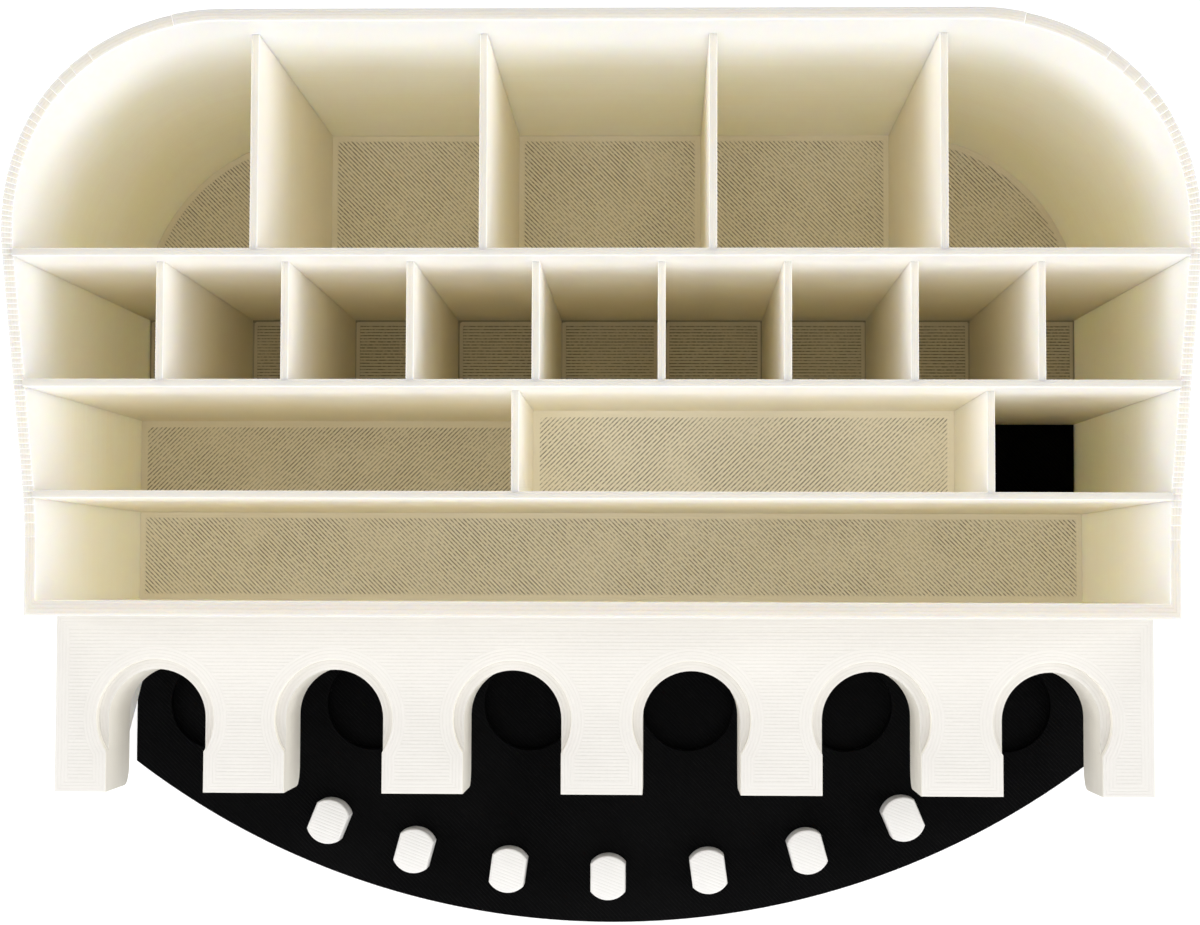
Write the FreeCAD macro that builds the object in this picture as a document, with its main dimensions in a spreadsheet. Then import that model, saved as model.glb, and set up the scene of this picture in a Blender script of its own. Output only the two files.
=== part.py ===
"""Hobby workstation organizer: a deep D-shaped bin with a stepped-down rim and four rows of
compartments, a slotted tool rack along its front, and a base plate with bottle recesses and pegs.

Millimetres. +X runs to the right, +Y to the rear and +Z up. The origin is the middle of the
footprint on the underside of the base plate. Heights named "..._level" and "..._height" are
counted from the top of the base plate, where the bin stands.
"""
import FreeCAD
import Part
import Sketcher
import math
import os

doc = FreeCAD.newDocument("organizer")

# ---------------------------------------------------------------- driving dimensions
DIMENSIONS = [
    # alias, value, meaning
    ("foot_width", 292, "outside width of the bin and of the base plate where they meet"),
    ("side_spread", 4.5, "how far each side leans out by the height of the rear rim"),
    ("rear_corner", 58, "rear corner radius"),
    ("shell_wall", 3, "rear and side walls"),
    ("front_wall", 4, "front wall of the bin"),
    ("panel", 2, "cross walls and dividers"),
    ("rear_row", 54, "clear depth of the rear row"),
    ("second_row", 30, "clear depth of the second row"),
    ("third_row", 26, "clear depth of the third row"),
    ("front_row", 26.5, "clear depth of the front row"),
    ("rear_rim_height", 159, "rim along the rear wall"),
    ("rear_cross_drop", 14.5, "cross wall before the rear row, below the rear rim"),
    ("middle_cross_drop", 25, "cross wall before the second row, below the rear rim"),
    ("front_cross_drop", 35.5, "cross wall before the third row, below the rear rim"),
    ("front_rim_drop", 38.5, "rim along the front wall, below the rear rim"),
    ("rim_upper_bend", 90, "radius where the rim starts to fall"),
    ("rim_lower_bend", 60, "radius where the rim levels out"),
    ("rim_front_level", 14.5, "level stretch of the rim behind the front face"),
    ("rear_bays", 5, "compartments in the rear row"),
    ("second_bays", 9, "compartments in the second row"),
    ("third_row_bay", 120.25, "clear width of each wide compartment in the third row"),
    ("floor_level", 11, "floor of the rear, third and front rows"),
    ("floor_plate", 3, "thickness of those floors and of the raised floor"),
    ("low_floor", 2, "thickness of the second row's floor, which lies on the base plate"),
    ("raised_level", 55, "raised floor of the middle compartment in the third row"),
    ("rack_reach", 48, "tool rack, front face of the bin to its own front face"),
    ("rack_height", 89.5, "top of the tool rack"),
    ("rack_thickness", 28.5, "tool rack, top to underside"),
    ("rack_round", 5.5, "round along the rack's lower front edge"),
    ("slot_count", 6, "tool slots, and bottle recesses below them"),
    ("slot_width", 26.5, "clear width of a slot"),
    ("end_leg", 14, "rack outside its first and last slots"),
    ("slot_setback", 20, "rack front to the middle of a slot's round end"),
    ("seat_margin", 2.75, "how much wider than its slot a round seat is, on each side"),
    ("seat_depth", 3, "depth of that seat"),
    ("cheek_cut", 32.5, "height and depth of the slanted cut at each cheek's front foot"),
    ("apron", 46.5, "base plate before the rack, at its middle"),
    ("base_thickness", 6, "base plate"),
    ("recess_diameter", 28, "bottle recess in the base plate"),
    ("recess_depth", 3, "depth of that recess"),
    ("peg_count", 7, "pegs along the front arc"),
    ("peg_inset", 14.4, "front arc to the middle of a peg"),
    ("peg_angle", 7.64, "degrees from peg to peg, about the middle of the rear edge"),
    ("first_peg_shift", 1.1, "degrees by which the first peg stands nearer to the middle"),
    ("second_peg_shift", 0.35, "degrees by which the second peg stands nearer to the middle"),
    ("peg_diameter", 13.5, "round sides of a peg"),
    ("peg_flats", 10.6, "across the two flats of a peg"),
    ("peg_height", 8, "peg above the base plate"),
    ("peg_socket", 3, "depth of a peg's socket in the base plate"),
    ("peg_clearance", 0.1, "gap all round a peg in its socket"),
    ("peg_chamfer", 0.6, "chamfer around a peg's top"),
    ("margin", 10, "how far a cutting solid reaches past what it cuts"),
]

sheet = doc.addObject("Spreadsheet::Sheet", "dims")
for row, (alias, value, meaning) in enumerate(DIMENSIONS, start=1):
    sheet.set(f"A{row}", alias)
    sheet.set(f"B{row}", str(value))
    sheet.setAlias(f"B{row}", alias)
    sheet.set(f"C{row}", meaning)
doc.recompute()


def dim(alias):
    """Value of one driving dimension."""
    return float(getattr(sheet, alias))


def value(expression):
    """Value that an expression of driving dimensions has now."""
    return float(sheet.evalExpression(expression))


def bind(obj, **expressions):
    """Bind properties to the sheet; a double underscore stands for a dot in the property's path."""
    for path, expression in expressions.items():
        obj.setExpression(path.replace("__", "."), expression)


# Sizes and places worked out from the driving dimensions, as expressions that pieces share.
ROWS = "dims.rear_row + dims.second_row + dims.third_row + dims.front_row + 3 * dims.panel"
BIN_DEPTH = f"({ROWS} + dims.shell_wall + dims.front_wall)"
OVERALL_DEPTH = f"({BIN_DEPTH} + dims.rack_reach + dims.apron)"      # also the front arc's radius
REAR = f"{OVERALL_DEPTH} / 2"
BIN_FLOOR = "dims.base_thickness"
INNER_FOOT = "(dims.foot_width - 2 * dims.shell_wall)"
TOP_HALF = "(dims.foot_width / 2 + dims.side_spread + 2 * dims.margin)"
LEAN = "(dims.side_spread / dims.rear_rim_height)"
REAR_CROSS_Y = f"({REAR} - dims.shell_wall - dims.rear_row - dims.panel)"
MIDDLE_CROSS_Y = f"({REAR_CROSS_Y} - dims.second_row - dims.panel)"
FRONT_CROSS_Y = f"({MIDDLE_CROSS_Y} - dims.third_row - dims.panel)"
BIN_FRONT = f"({REAR} - {BIN_DEPTH})"
THIRD_ROW_Y = f"({FRONT_CROSS_Y} + dims.panel)"
FIRST_DIVIDER = f"(-{INNER_FOOT} / 2 + dims.third_row_bay)"
SECOND_DIVIDER = f"({FIRST_DIVIDER} + dims.panel + dims.third_row_bay)"
REAR_CROSS_TOP = "(dims.rear_rim_height - dims.rear_cross_drop)"
MIDDLE_CROSS_TOP = "(dims.rear_rim_height - dims.middle_cross_drop)"
FRONT_CROSS_TOP = "(dims.rear_rim_height - dims.front_cross_drop)"
FRONT_RIM = "(dims.rear_rim_height - dims.front_rim_drop)"
RIM_RUN = f"({BIN_DEPTH} - dims.rim_front_level)"
RACK_FRONT = f"({BIN_FRONT} - dims.rack_reach)"
RACK_UNDERSIDE = "(dims.rack_height - dims.rack_thickness)"
RACK_WIDTH = f"(dims.foot_width + 2 * dims.rack_height * {LEAN})"
SLOT_SPAN = f"({RACK_WIDTH} - 2 * dims.end_leg - dims.slot_width)"
SLOT_BACK = "(dims.rack_reach - dims.slot_setback)"
PEG_CIRCLE = f"({OVERALL_DEPTH} - dims.peg_inset)"
MARGIN = "dims.margin"

PEG_SHIFTS = {1: "dims.first_peg_shift", 2: "dims.second_peg_shift"}
PARTS = []


def part(obj, label):
    """Register a finished sub-part under its own label."""
    obj.Label = label
    PARTS.append(obj)
    return obj


# ---------------------------------------------------------------- building blocks
def box(name, x, y, z, length, width, height):
    """Part::Box from six expressions: low corner and size."""
    made = doc.addObject("Part::Box", name)
    bind(made, Placement__Base__x=x, Placement__Base__y=y, Placement__Base__z=z,
         Length=length, Width=width, Height=height)
    return made


def boolean(kind, name, base, tool):
    """Part::Cut, Part::Common or Part::Fuse of two objects."""
    made = doc.addObject(f"Part::{kind}", name)
    made.Base = base
    made.Tool = tool
    return made


def half_outline(name, half_width, corner, rear_inset):
    """Closed sketch of the right half of the bin's plan, one round rear corner and all.

    Its own origin is on the bin's rear face. It starts a margin to the left of the middle, so that
    a leaning prism of it still overlaps its mirror image at the top.
    """
    half, radius, left = value(half_width), value(corner), -dim("margin")
    back, front = -value(rear_inset or "0"), -value(BIN_DEPTH)
    sketch = doc.addObject("Sketcher::SketchObject", name)
    bind(sketch, Placement__Base__y=REAR, Placement__Base__z=BIN_FLOOR)
    point = FreeCAD.Vector
    side = back - radius
    flat = half - radius
    sketch.addGeometry([
        Part.LineSegment(point(left, front, 0), point(half, front, 0)),
        Part.LineSegment(point(half, front, 0), point(half, side, 0)),
        Part.ArcOfCircle(Part.Circle(point(flat, side, 0), point(0, 0, 1), radius), 0, math.pi / 2),
        Part.LineSegment(point(flat, back, 0), point(left, back, 0)),
        Part.LineSegment(point(left, back, 0), point(left, front, 0)),
    ], False)
    limit = Sketcher.Constraint
    sketch.addConstraint([
        limit("Coincident", 0, 2, 1, 1),
        limit("Tangent", 1, 2, 2, 1),
        limit("Tangent", 2, 2, 3, 1),
        limit("Coincident", 3, 2, 4, 1),
        limit("Coincident", 4, 2, 0, 1),
        limit("Horizontal", 0),
        limit("Horizontal", 3),
        limit("Vertical", 1),
        limit("Vertical", 4),
    ])
    named_limit(sketch, limit("DistanceX", -1, 1, 0, 2, half), "half_width", half_width)
    named_limit(sketch, limit("Radius", 2, radius), "corner", corner)
    named_limit(sketch, limit("DistanceY", 0, 2, -1, 1, -front), "depth", BIN_DEPTH)
    named_limit(sketch, limit("DistanceX", 0, 1, -1, 1, -left), "overlap", MARGIN)
    if rear_inset:
        named_limit(sketch, limit("DistanceY", 3, 1, -1, 1, -back), "inset", rear_inset)
    else:
        sketch.addConstraint(limit("PointOnObject", 3, 1, -1))
    return sketch


def named_limit(sketch, constraint, name, expression):
    """Add one constraint, name it and bind its value to the sheet."""
    index = sketch.addConstraint(constraint)
    sketch.renameConstraint(index, name)
    sketch.setExpression(f"Constraints.{name}", expression)


def flared(name, sketch):
    """Solid that leans outwards on both sides: a leaning prism of a half outline and its mirror."""
    tall = f"(dims.rear_rim_height + {MARGIN})"
    right = doc.addObject("Part::Extrusion", f"{name}_right")
    right.Base = sketch
    right.DirMode = "Custom"
    right.Dir = FreeCAD.Vector(0, 0, 1)
    right.Solid = True
    bind(right, Dir__x=LEAN, LengthFwd=f"{tall} * sqrt(1 + {LEAN} ^ 2)")
    left = doc.addObject("Part::Mirroring", f"{name}_left")
    left.Source = right
    left.Normal = FreeCAD.Vector(1, 0, 0)
    both = boolean("Fuse", name, right, left)
    both.Refine = True
    return both


def body(name, x="0", y="0", z="0"):
    """PartDesign body at a place given by expressions."""
    made = doc.addObject("PartDesign::Body", name)
    bind(made, Placement__Base__x=x, Placement__Base__y=y, Placement__Base__z=z)
    return made


def plane(owner, role):
    """One of a body's own origin planes or axes."""
    return next(item for item in owner.Origin.OriginFeatures if item.Role == role)


def body_sketch(owner, name, height=None, turn=None):
    """Sketch on the body's own XY plane, optionally lifted and turned about its Z axis."""
    sketch = owner.newObject("Sketcher::SketchObject", name)
    sketch.AttachmentSupport = [(plane(owner, "XY_Plane"), "")]
    sketch.MapMode = "FlatFace"
    if height:
        bind(sketch, AttachmentOffset__Base__z=height)
    if turn:
        bind(sketch, AttachmentOffset__Rotation__Angle=turn)
    return sketch


def pad(owner, name, sketch, length):
    """Pad a sketch upwards."""
    made = owner.newObject("PartDesign::Pad", name)
    made.Profile = sketch
    bind(made, Length=length)
    sketch.Visibility = False
    return made


def pocket(owner, name, sketch, depth):
    """Pocket a sketch downwards by depth and prove that it removes material."""
    before = owner.Shape.Volume
    made = owner.newObject("PartDesign::Pocket", name)
    made.Profile = sketch
    bind(made, Length=depth)
    doc.recompute()
    if made.Shape.Volume >= before - 1:
        raise RuntimeError(f"{name} removes nothing")
    return made


def pattern(owner, kind, name, original, axis, count, **extent):
    """Repeat a feature and make the pattern the body's tip."""
    made = owner.newObject(f"PartDesign::{kind}", name)
    made.Originals = [original]
    if kind == "PolarPattern":
        made.Axis = (plane(owner, axis), [""])
    else:
        made.Direction = (plane(owner, axis), [""])
    bind(made, Occurrences=count, **extent)
    owner.Tip = made
    return made


def circle(sketch, diameter, back):
    """Circle at the first slot's place: half the slots' span to the left, and back to the front."""
    at = FreeCAD.Vector(-value(SLOT_SPAN) / 2, -value(back), 0)
    sketch.addGeometry(Part.Circle(at, FreeCAD.Vector(0, 0, 1), value(diameter) / 2))
    limit = Sketcher.Constraint
    named_limit(sketch, limit("Diameter", 0, value(diameter)), "diameter", diameter)
    named_limit(sketch, limit("DistanceX", 0, 3, -1, 1, -at.x), "left", f"{SLOT_SPAN} / 2")
    named_limit(sketch, limit("DistanceY", 0, 3, -1, 1, -at.y), "back", back)


def double_d(sketch, diameter, flats, radius=None):
    """Circle with two flats, which face left and right; its centre lies radius below the origin."""
    r, w, low = value(diameter) / 2, value(flats) / 2, -value(radius or "0")
    rise = math.sqrt(r * r - w * w)
    lean = math.atan2(rise, w)
    point = FreeCAD.Vector
    centre = point(0, low, 0)
    ring = Part.Circle(centre, point(0, 0, 1), r)
    sketch.addGeometry([
        Part.ArcOfCircle(ring, lean, math.pi - lean),
        Part.LineSegment(point(-w, low + rise, 0), point(-w, low - rise, 0)),
        Part.ArcOfCircle(ring, math.pi + lean, 2 * math.pi - lean),
        Part.LineSegment(point(w, low - rise, 0), point(w, low + rise, 0)),
    ], False)
    limit = Sketcher.Constraint
    sketch.addConstraint([
        limit("Coincident", 0, 2, 1, 1),
        limit("Coincident", 1, 2, 2, 1),
        limit("Coincident", 2, 2, 3, 1),
        limit("Coincident", 3, 2, 0, 1),
        limit("Coincident", 0, 3, 2, 3),
        limit("Equal", 0, 2),
        limit("Vertical", 1),
        limit("Vertical", 3),
        limit("Symmetric", 0, 1, 0, 2, -2),
        limit("PointOnObject", 0, 3, -2),
    ])
    named_limit(sketch, limit("Diameter", 0, 2 * r), "round_sides", diameter)
    named_limit(sketch, limit("DistanceX", 0, 2, 0, 1, 2 * w), "flats", flats)
    if radius:
        named_limit(sketch, limit("DistanceY", 0, 3, -1, 1, -low), "radius", radius)
    else:
        sketch.addConstraint(limit("PointOnObject", 0, 3, -1))


def edges_where(shape, test):
    """Names of the edges whose every point passes a test."""
    found = []
    for number, edge in enumerate(shape.Edges, start=1):
        first, last = edge.ParameterRange
        samples = [edge.valueAt(first + (last - first) * share) for share in (0.0, 0.5, 1.0)]
        if all(test(point) for point in samples):
            found.append(f"Edge{number}")
    return found


def near(value, target):
    """True within a hundredth of a millimetre."""
    return abs(value - target) < 0.01


# ---------------------------------------------------------------- forms shared by the bin's walls
def rim_cutter():
    """Solid above the rim: a level rear, a bend, a straight fall, a bend and a level front."""
    upper, lower = dim("rim_upper_bend"), dim("rim_lower_bend")
    run, high, low = value(RIM_RUN), dim("rear_rim_height"), value(FRONT_RIM)
    bends = upper + lower
    # Angle of the straight fall that is tangent to both bends.
    reach = math.hypot(bends - (high - low), run)
    fall = math.atan2(run, bends - (high - low)) - math.acos(bends / reach)
    point = FreeCAD.Vector
    normal = point(0, 0, 1)
    start = point(-upper * math.sin(fall), high - upper * (1 - math.cos(fall)), 0)
    finish = point(-run + lower * math.sin(fall), low + lower * (1 - math.cos(fall)), 0)
    space = 2 * dim("margin")
    ceiling, behind, before = high + space, space, -value(BIN_DEPTH) - space
    sketch = doc.addObject("Sketcher::SketchObject", "rim_profile")
    sketch.Placement.Rotation = FreeCAD.Rotation(point(1, 1, 1), 120)
    bind(sketch, Placement__Base__y=REAR, Placement__Base__z=BIN_FLOOR)
    sketch.addGeometry([
        Part.LineSegment(point(behind, high, 0), point(0, high, 0)),
        Part.ArcOfCircle(Part.Circle(point(0, high - upper, 0), normal, upper),
                         math.pi / 2, math.pi / 2 + fall),
        Part.LineSegment(start, finish),
        Part.ArcOfCircle(Part.Circle(point(-run, low + lower, 0), normal, lower),
                         1.5 * math.pi, 1.5 * math.pi + fall),
        Part.LineSegment(point(-run, low, 0), point(before, low, 0)),
        Part.LineSegment(point(before, low, 0), point(before, ceiling, 0)),
        Part.LineSegment(point(before, ceiling, 0), point(behind, ceiling, 0)),
        Part.LineSegment(point(behind, ceiling, 0), point(behind, high, 0)),
    ], False)
    limit = Sketcher.Constraint
    sketch.addConstraint([
        limit("Tangent", 0, 2, 1, 1),
        limit("Tangent", 1, 2, 2, 1),
        limit("Tangent", 2, 2, 3, 2),
        limit("Tangent", 3, 1, 4, 1),
        limit("Coincident", 4, 2, 5, 1),
        limit("Coincident", 5, 2, 6, 1),
        limit("Coincident", 6, 2, 7, 1),
        limit("Coincident", 7, 2, 0, 1),
        limit("Horizontal", 0),
        limit("Horizontal", 4),
        limit("Horizontal", 6),
        limit("Vertical", 5),
        limit("Vertical", 7),
        limit("PointOnObject", 1, 1, -2),
    ])
    named_limit(sketch, limit("DistanceY", -1, 1, 0, 1, high), "high", "dims.rear_rim_height")
    named_limit(sketch, limit("DistanceY", -1, 1, 4, 1, low), "low", FRONT_RIM)
    named_limit(sketch, limit("DistanceX", 3, 1, -1, 1, run), "run", RIM_RUN)
    named_limit(sketch, limit("Radius", 1, upper), "upper_bend", "dims.rim_upper_bend")
    named_limit(sketch, limit("Radius", 3, lower), "lower_bend", "dims.rim_lower_bend")
    named_limit(sketch, limit("DistanceX", -1, 1, 0, 1, behind), "behind", f"2 * {MARGIN}")
    named_limit(sketch, limit("DistanceX", 5, 1, -1, 1, -before), "before",
                f"{BIN_DEPTH} + 2 * {MARGIN}")
    named_limit(sketch, limit("DistanceY", -1, 1, 6, 1, ceiling), "ceiling",
                f"dims.rear_rim_height + 2 * {MARGIN}")
    made = doc.addObject("Part::Extrusion", "above_rim")
    made.Base = sketch
    made.DirMode = "Normal"
    made.Symmetric = True
    made.Solid = True
    bind(made, LengthFwd=f"2 * {TOP_HALF}")
    return made


def bin_forms():
    """Outer form and cavity of the bin, both leaning outwards and higher than the rear rim."""
    wall = "dims.shell_wall"
    outer = flared("outer_form", half_outline("outer_outline", "dims.foot_width / 2",
                                              "dims.rear_corner", None))
    cavity = flared("cavity", half_outline("inner_outline", f"dims.foot_width / 2 - {wall}",
                                           f"dims.rear_corner - {wall}", wall))
    return outer, cavity


# ---------------------------------------------------------------- the bin
def shell_walls(outer, cavity, above_rim):
    """Rear wall with its two round corners, and the two side walls, all under the falling rim."""
    hollow = boolean("Cut", "hollow_form", outer, cavity)
    trimmed = boolean("Cut", "trimmed_form", hollow, above_rim)
    tall = f"dims.rear_rim_height + {MARGIN}"
    rear_zone = box("rear_zone", f"-{TOP_HALF}", f"{REAR} - dims.rear_corner", BIN_FLOOR,
                    f"2 * {TOP_HALF}", f"dims.rear_corner + {MARGIN}", tall)
    part(boolean("Common", "rear_shell", trimmed, rear_zone), "rear_shell")
    for side, low_x in (("left", f"-{TOP_HALF}"), ("right", "0")):
        zone = box(f"{side}_zone", low_x, f"{BIN_FRONT} - {MARGIN}", BIN_FLOOR, TOP_HALF,
                   f"{BIN_DEPTH} - dims.rear_corner + {MARGIN}", tall)
        part(boolean("Common", f"side_wall_{side}", trimmed, zone), f"side_wall_{side}")


def across(cavity, label, low_y, depth, low_z, height):
    """Wall or floor that spans the cavity from side to side."""
    slab = box(f"{label}_slab", f"-{TOP_HALF}", low_y, low_z, f"2 * {TOP_HALF}", depth, height)
    part(boolean("Common", label, cavity, slab), label)


def cross_walls(cavity):
    """Front wall and the three cross walls, which stand on the base plate."""
    across(cavity, "front_wall", BIN_FRONT, "dims.front_wall", BIN_FLOOR, FRONT_RIM)
    across(cavity, "cross_wall_rear", REAR_CROSS_Y, "dims.panel", BIN_FLOOR, REAR_CROSS_TOP)
    across(cavity, "cross_wall_middle", MIDDLE_CROSS_Y, "dims.panel", BIN_FLOOR, MIDDLE_CROSS_TOP)
    across(cavity, "cross_wall_front", FRONT_CROSS_Y, "dims.panel", BIN_FLOOR, FRONT_CROSS_TOP)


def floors(cavity):
    """Floors of the four rows; the narrow right bay of the third row is left open to the base."""
    low = f"{BIN_FLOOR} + dims.floor_level - dims.floor_plate"
    across(cavity, "floor_rear_row", f"{REAR_CROSS_Y} + dims.panel", "dims.rear_row",
           low, "dims.floor_plate")
    across(cavity, "floor_second_row", f"{MIDDLE_CROSS_Y} + dims.panel", "dims.second_row",
           BIN_FLOOR, "dims.low_floor")
    across(cavity, "floor_front_row", f"{BIN_FRONT} + dims.front_wall", "dims.front_row",
           low, "dims.floor_plate")
    slab = box("third_row_slab", f"-{TOP_HALF}", THIRD_ROW_Y, low, f"{FIRST_DIVIDER} + {TOP_HALF}",
               "dims.third_row", "dims.floor_plate")
    part(boolean("Common", "floor_third_row", cavity, slab), "floor_third_row")
    part(box("raised_floor", f"{FIRST_DIVIDER} + dims.panel", THIRD_ROW_Y,
             f"{BIN_FLOOR} + dims.raised_level - dims.floor_plate",
             "dims.third_row_bay", "dims.third_row", "dims.floor_plate"), "raised_floor")


def divider_row(label, bays, low_y, depth, floor, top):
    """Dividers that part one row into bays of equal clear width at the foot."""
    pitch = f"(({INNER_FOOT} + dims.panel) / {bays})"
    count = int(dim(bays.split(".")[1])) - 1
    for number in range(1, count + 1):
        name = f"{label}_{number}"
        left = f"-{INNER_FOOT} / 2 - dims.panel + {pitch} * {number}"
        part(box(name, left, low_y, f"{BIN_FLOOR} + {floor}", "dims.panel", depth,
                 f"{top} - {floor}"), name)


def dividers():
    """Upright dividers, each as high as the cross wall in front of its row."""
    divider_row("divider_rear", "dims.rear_bays", f"{REAR_CROSS_Y} + dims.panel",
                "dims.rear_row", "dims.floor_level", REAR_CROSS_TOP)
    divider_row("divider_second", "dims.second_bays", f"{MIDDLE_CROSS_Y} + dims.panel",
                "dims.second_row", "dims.low_floor", MIDDLE_CROSS_TOP)
    for number, left in ((1, FIRST_DIVIDER), (2, SECOND_DIVIDER)):
        name = f"divider_third_{number}"
        part(box(name, left, THIRD_ROW_Y, BIN_FLOOR, "dims.panel", "dims.third_row",
                 FRONT_CROSS_TOP), name)


# ---------------------------------------------------------------- the tool rack
def tool_rack():
    """Rack bar with open slots, a sunk round seat at each slot and a rounded lower front edge."""
    rack = body("tool_rack_body", y=BIN_FRONT,
                z=f"{BIN_FLOOR} + {RACK_UNDERSIDE}")
    point = FreeCAD.Vector
    limit = Sketcher.Constraint
    outline = body_sketch(rack, "rack_outline")
    half, reach, slot_half = value(RACK_WIDTH) / 2, dim("rack_reach"), dim("slot_width") / 2
    corners = [point(-half, 0, 0), point(half, 0, 0), point(half, -reach, 0), point(-half, -reach, 0)]
    outline.addGeometry([Part.LineSegment(corners[i], corners[(i + 1) % 4]) for i in range(4)], False)
    outline.addConstraint([limit("Coincident", i, 2, (i + 1) % 4, 1) for i in range(4)])
    outline.addConstraint([
        limit("Vertical", 1),
        limit("Vertical", 3),
        limit("Horizontal", 2),
        limit("PointOnObject", 0, 1, -1),
        limit("Symmetric", 0, 1, 0, 2, -2),
    ])
    named_limit(outline, limit("DistanceX", 0, 1, 0, 2, 2 * half), "width", RACK_WIDTH)
    named_limit(outline, limit("DistanceY", 2, 1, -1, 1, reach), "reach", "dims.rack_reach")
    pad(rack, "rack_bar", outline, "dims.rack_thickness")
    doc.recompute()

    slot = body_sketch(rack, "slot_outline", height="dims.rack_thickness")
    left, back, low = -value(SLOT_SPAN) / 2, -value(SLOT_BACK), -reach - dim("margin")
    near_side, far_side = left - slot_half, left + slot_half
    slot.addGeometry([
        Part.ArcOfCircle(Part.Circle(point(left, back, 0), point(0, 0, 1), slot_half), 0, math.pi),
        Part.LineSegment(point(near_side, back, 0), point(near_side, low, 0)),
        Part.LineSegment(point(near_side, low, 0), point(far_side, low, 0)),
        Part.LineSegment(point(far_side, low, 0), point(far_side, back, 0)),
    ], False)
    slot.addConstraint([
        limit("Tangent", 0, 2, 1, 1),
        limit("Coincident", 1, 2, 2, 1),
        limit("Coincident", 2, 2, 3, 1),
        limit("Tangent", 3, 2, 0, 1),
        limit("Vertical", 1),
        limit("Horizontal", 2),
    ])
    named_limit(slot, limit("Radius", 0, slot_half), "half_width", "dims.slot_width / 2")
    named_limit(slot, limit("DistanceX", 0, 3, -1, 1, -left), "left", f"{SLOT_SPAN} / 2")
    named_limit(slot, limit("DistanceY", 0, 3, -1, 1, -back), "back", SLOT_BACK)
    named_limit(slot, limit("DistanceY", 2, 1, -1, 1, -low), "open_end", f"dims.rack_reach + {MARGIN}")
    cut = pocket(rack, "slot", slot, f"dims.rack_thickness + {MARGIN}")
    pattern(rack, "LinearPattern", "slots", cut, "X_Axis", "dims.slot_count", Length=SLOT_SPAN)
    doc.recompute()

    seat = body_sketch(rack, "seat_outline", height="dims.rack_thickness")
    circle(seat, "dims.slot_width + 2 * dims.seat_margin", SLOT_BACK)
    sunk = pocket(rack, "seat", seat, "dims.seat_depth")
    seats = pattern(rack, "LinearPattern", "seats", sunk, "X_Axis", "dims.slot_count",
                    Length=SLOT_SPAN)
    doc.recompute()

    shape = seats.Shape.copy()
    shape.Placement = FreeCAD.Placement()
    rounded = rack.newObject("PartDesign::Fillet", "lower_front_round")
    rounded.Base = (seats, edges_where(shape, lambda at: near(at.y, -reach) and near(at.z, 0)))
    bind(rounded, Radius="dims.rack_round")
    rack.Tip = rounded
    part(rack, "tool_rack")


def rack_cheeks(outer, cavity):
    """Side walls carried forward under the rack's ends, with the front foot cut off at a slant."""
    cut, reach = dim("cheek_cut"), dim("rack_reach")
    under = value(RACK_UNDERSIDE)
    point = FreeCAD.Vector
    sketch = doc.addObject("Sketcher::SketchObject", "cheek_profile")
    sketch.Placement.Rotation = FreeCAD.Rotation(point(1, 1, 1), 120)
    bind(sketch, Placement__Base__y=BIN_FRONT, Placement__Base__z=BIN_FLOOR)
    sketch.addGeometry([
        Part.LineSegment(point(0, 0, 0), point(0, under, 0)),
        Part.LineSegment(point(0, under, 0), point(-reach, under, 0)),
        Part.LineSegment(point(-reach, under, 0), point(-reach, cut, 0)),
        Part.LineSegment(point(-reach, cut, 0), point(-reach + cut, 0, 0)),
        Part.LineSegment(point(-reach + cut, 0, 0), point(0, 0, 0)),
    ], False)
    limit = Sketcher.Constraint
    sketch.addConstraint([
        limit("Coincident", 0, 2, 1, 1),
        limit("Coincident", 1, 2, 2, 1),
        limit("Coincident", 2, 2, 3, 1),
        limit("Coincident", 3, 2, 4, 1),
        limit("Coincident", 4, 2, 0, 1),
        limit("Coincident", 0, 1, -1, 1),
        limit("Vertical", 0),
        limit("Horizontal", 1),
        limit("Vertical", 2),
        limit("Horizontal", 4),
    ])
    named_limit(sketch, limit("DistanceY", 0, 1, 0, 2, under), "under", RACK_UNDERSIDE)
    named_limit(sketch, limit("DistanceX", 1, 2, 1, 1, reach), "reach", "dims.rack_reach")
    named_limit(sketch, limit("DistanceY", 3, 2, 3, 1, cut), "cut_height", "dims.cheek_cut")
    named_limit(sketch, limit("DistanceX", 3, 1, 3, 2, cut), "cut_depth", "dims.cheek_cut")
    profile = doc.addObject("Part::Extrusion", "cheek_slab")
    profile.Base = sketch
    profile.DirMode = "Normal"
    profile.Symmetric = True
    profile.Solid = True
    bind(profile, LengthFwd=f"2 * {TOP_HALF}")
    # The bin's flared sides, moved forward so that they run on under the rack.
    sides = boolean("Cut", "side_form", outer, cavity)
    forward = doc.addObject("Part::Compound", "forward_sides")
    forward.Links = [sides]
    bind(forward, Placement__Base__y="-dims.rack_reach")
    both = boolean("Common", "both_cheeks", forward, profile)
    for side, low_x in (("left", f"-{TOP_HALF}"), ("right", "0")):
        zone = box(f"{side}_cheek_zone", low_x, f"{RACK_FRONT} - {MARGIN}", BIN_FLOOR, TOP_HALF,
                   f"dims.rack_reach + {MARGIN}", "dims.rack_height")
        part(boolean("Common", f"rack_cheek_{side}", both, zone), f"rack_cheek_{side}")


# ---------------------------------------------------------------- the base plate and its pegs
def peg_numbers():
    """Pegs from left to right."""
    return range(1, int(dim("peg_count")) + 1)


def peg_turn(number):
    """Angle of one peg about the middle of the rear edge, counted from the middle of the arc."""
    shift = PEG_SHIFTS.get(number, "0")
    return f"(dims.peg_angle * ({number} - (dims.peg_count + 1) / 2) + {shift})"


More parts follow.
